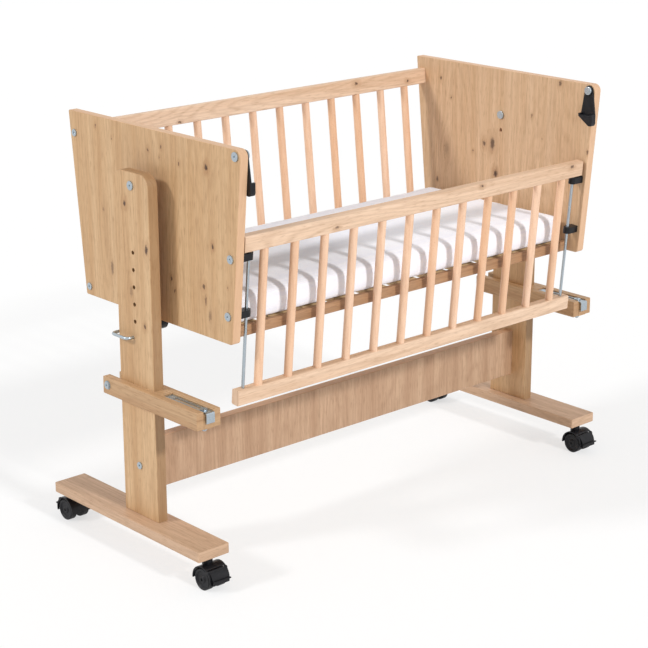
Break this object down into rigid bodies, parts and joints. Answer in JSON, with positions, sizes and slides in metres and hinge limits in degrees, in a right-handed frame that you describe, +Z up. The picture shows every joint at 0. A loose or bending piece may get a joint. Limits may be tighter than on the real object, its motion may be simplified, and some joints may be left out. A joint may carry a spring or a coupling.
{
  "type": "bedside crib",
  "caption": "Wooden rocking crib on a wheeled stand, with a sliding gate that drops in front, hooks that hold it to a big bed, and a mattress.",
  "frame": {"origin": "on the floor, midway between the posts and straight below the swing axis", "axes": "+X along the crib, +Z up, -Y the side where the gate drops"},
  "size_m": [1.104, 0.5375, 0.8235],
  "materials": {
    "oak_board": "oak-look laminate, matte",
    "oak_rail": "oak-look foil, matte",
    "beech": "clear-lacquered beech",
    "plywood": "raw plywood",
    "zinc": "bright zinc plate",
    "black_plastic": "moulded, slightly glossy",
    "black_tread": "soft tread",
    "knit_cover": "white knitted cover"
  },
  "bodies": {
    "stand": {"left_post": "oak_board", "right_post": "oak_board", "left_foot": "oak_board", "right_foot": "oak_board", "stretcher": "oak_board", "left_outer_arm": "oak_rail", "left_inner_arm": "oak_rail", "right_outer_arm": "oak_rail", "right_inner_arm": "oak_rail", "left_arm_block": "oak_rail", "right_arm_block": "oak_rail", "arm_spacers": "zinc", "arm_bolts": "zinc", "pivot_bolts": "zinc", "pivot_spacers": "zinc", "pivot_nuts": "zinc", "stretcher_bolts": "zinc", "stretcher_nuts": "zinc", "foot_screws": "zinc", "hook_bolts": "zinc", "caster_stems": "black_plastic"},
    "cradle": {"left_panel": "oak_board", "right_panel": "oak_board", "back_top_rail": "oak_rail", "back_bottom_rail": "oak_rail", "back_dowels": "beech", "front_base_rail": "oak_rail", "back_base_rail": "oak_rail", "base_slats": "plywood", "mattress": "knit_cover", "upper_guides": "black_plastic", "lower_guides": "black_plastic", "guide_bolts": "zinc", "rail_bolts": "zinc", "rail_nuts": "zinc", "lock_catches": "black_plastic", "latch_bolts": "zinc"},
    "gate": {"gate_top_rail": "oak_rail", "gate_bottom_rail": "oak_rail", "gate_dowels": "beech", "gate_rods": "zinc"},
    "left_latch": {"left_latch": "black_plastic"},
    "left_bed_hook": {"left_bed_hook": "zinc"},
    "left_lock_pin": {"left_lock_pin": "zinc"},
    "right_latch": {"right_latch": "black_plastic"},
    "right_bed_hook": {"right_bed_hook": "zinc"},
    "right_lock_pin": {"right_lock_pin": "zinc"},
    "caster_fl": {"caster_fl_housing": "black_plastic"},
    "caster_fl_wheels": {"caster_fl_wheels": "black_tread"},
    "caster_fl_brake": {"caster_fl_brake": "black_plastic"},
    "caster_fr": {"caster_fr_housing": "black_plastic"},
    "caster_fr_wheels": {"caster_fr_wheels": "black_tread"},
    "caster_fr_brake": {"caster_fr_brake": "black_plastic"},
    "caster_bl": {"caster_bl_housing": "black_plastic"},
    "caster_bl_wheels": {"caster_bl_wheels": "black_tread"},
    "caster_bl_brake": {"caster_bl_brake": "black_plastic"},
    "caster_br": {"caster_br_housing": "black_plastic"},
    "caster_br_wheels": {"caster_br_wheels": "black_tread"},
    "caster_br_brake": {"caster_br_brake": "black_plastic"}
  },
  "joints": [
    {"name": "cradle_swing", "type": "hinge", "parent": "stand", "child": "cradle", "pos_m": [0, 0, 0.7265], "axis": [1, 0, 0], "range_deg": [-10, 10]},
    {"name": "gate_slide", "type": "slide", "parent": "cradle", "child": "gate", "axis": [0, -0.089, 0.996], "range_m": [0, 0.138]},
    {"name": "left_latch_swing", "type": "hinge", "parent": "cradle", "child": "left_latch", "pos_m": [-0.4575, -0.243, 0.811], "axis": [1, 0, 0], "range_deg": [0, 63]},
    {"name": "left_hook_slide", "type": "slide", "parent": "stand", "child": "left_bed_hook", "axis": [0, -1, 0], "range_m": [0, 0.085]},
    {"name": "left_pin_pull", "type": "slide", "parent": "stand", "child": "left_lock_pin", "axis": [-1, 0, 0], "range_m": [0, 0.04]},
    {"name": "right_latch_swing", "type": "hinge", "parent": "cradle", "child": "right_latch", "pos_m": [0.4575, -0.243, 0.811], "axis": [1, 0, 0], "range_deg": [0, 63]},
    {"name": "right_hook_slide", "type": "slide", "parent": "stand", "child": "right_bed_hook", "axis": [0, -1, 0], "range_m": [0, 0.085]},
    {"name": "right_pin_pull", "type": "slide", "parent": "stand", "child": "right_lock_pin", "axis": [1, 0, 0], "range_m": [0, 0.04]},
    {"name": "caster_fl_swivel", "type": "hinge", "parent": "stand", "child": "caster_fl", "pos_m": [-0.516, -0.19, 0.05], "axis": [0, 0, 1], "continuous": true},
    {"name": "caster_fl_roll", "type": "hinge", "parent": "caster_fl", "child": "caster_fl_wheels", "pos_m": [-0.516, -0.2, 0.021], "axis": [1, 0, 0], "continuous": true},
    {"name": "caster_fl_brake_press", "type": "hinge", "parent": "caster_fl", "child": "caster_fl_brake", "pos_m": [-0.516, -0.217, 0.03988], "axis": [1, 0, 0], "range_deg": [0, 12]},
    {"name": "caster_fr_swivel", "type": "hinge", "parent": "stand", "child": "caster_fr", "pos_m": [0.516, -0.19, 0.05], "axis": [0, 0, 1], "continuous": true},
    {"name": "caster_fr_roll", "type": "hinge", "parent": "caster_fr", "child": "caster_fr_wheels", "pos_m": [0.516, -0.2, 0.021], "axis": [1, 0, 0], "continuous": true},
    {"name": "caster_fr_brake_press", "type": "hinge", "parent": "caster_fr", "child": "caster_fr_brake", "pos_m": [0.516, -0.217, 0.03988], "axis": [1, 0, 0], "range_deg": [0, 12]},
    {"name": "caster_bl_swivel", "type": "hinge", "parent": "stand", "child": "caster_bl", "pos_m": [-0.516, 0.231, 0.05], "axis": [0, 0, 1], "continuous": true},
    {"name": "caster_bl_roll", "type": "hinge", "parent": "caster_bl", "child": "caster_bl_wheels", "pos_m": [-0.516, 0.241, 0.021], "axis": [1, 0, 0], "continuous": true},
    {"name": "caster_bl_brake_press", "type": "hinge", "parent": "caster_bl", "child": "caster_bl_brake", "pos_m": [-0.516, 0.258, 0.03988], "axis": [-1, 0, 0], "range_deg": [0, 12]},
    {"name": "caster_br_swivel", "type": "hinge", "parent": "stand", "child": "caster_br", "pos_m": [0.516, 0.231, 0.05], "axis": [0, 0, 1], "continuous": true},
    {"name": "caster_br_roll", "type": "hinge", "parent": "caster_br", "child": "caster_br_wheels", "pos_m": [0.516, 0.241, 0.021], "axis": [1, 0, 0], "continuous": true},
    {"name": "caster_br_brake_press", "type": "hinge", "parent": "caster_br", "child": "caster_br_brake", "pos_m": [0.516, 0.258, 0.03988], "axis": [-1, 0, 0], "range_deg": [0, 12]}
  ],
  "couplings": [
    {"joint": "left_latch_swing", "follows": "gate_slide", "rad_per_m": 7.8413},
    {"joint": "right_latch_swing", "follows": "gate_slide", "rad_per_m": 7.8413}
  ]
}
